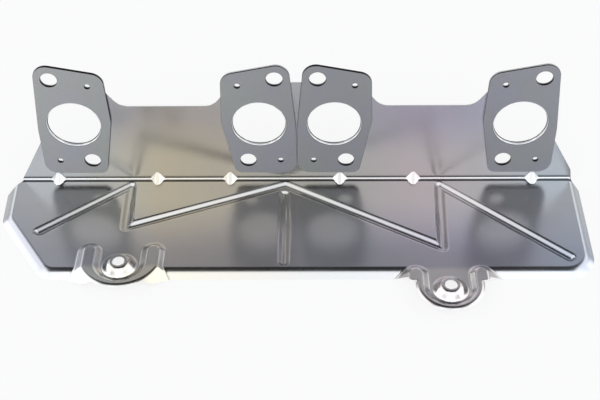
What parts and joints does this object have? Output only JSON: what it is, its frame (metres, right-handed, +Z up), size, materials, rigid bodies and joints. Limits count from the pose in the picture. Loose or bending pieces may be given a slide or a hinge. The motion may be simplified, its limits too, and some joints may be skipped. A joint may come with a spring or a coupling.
{
  "type": "exhaust manifold gasket",
  "caption": "Exhaust manifold gasket: port plates side by side on the upright half of a folded steel sheet whose flat half is a heat shield.",
  "frame": {"origin": "middle of the port row on the rear face of the upright half, at the height of the port centres", "axes": "+X along the fold, +Y out of the rear face of the upright half, +Z up; the shield reaches out towards -Y"},
  "size_m": [0.351, 0.1098, 0.0911],
  "materials": {
    "sheet": "thin bright rolled stainless sheet with soft, blurred reflections",
    "plate": "even satin grey coating on the faces, black cut edges",
    "ring": "bright turned steel"
  },
  "bodies": {
    "root": {"folded_sheet": "sheet", "plate_1": "plate", "plate_2": "plate", "plate_3": "plate", "plate_4": "plate", "ring_1": "ring", "ring_2": "ring", "ring_3": "ring", "ring_4": "ring"}
  },
  "joints": []
}
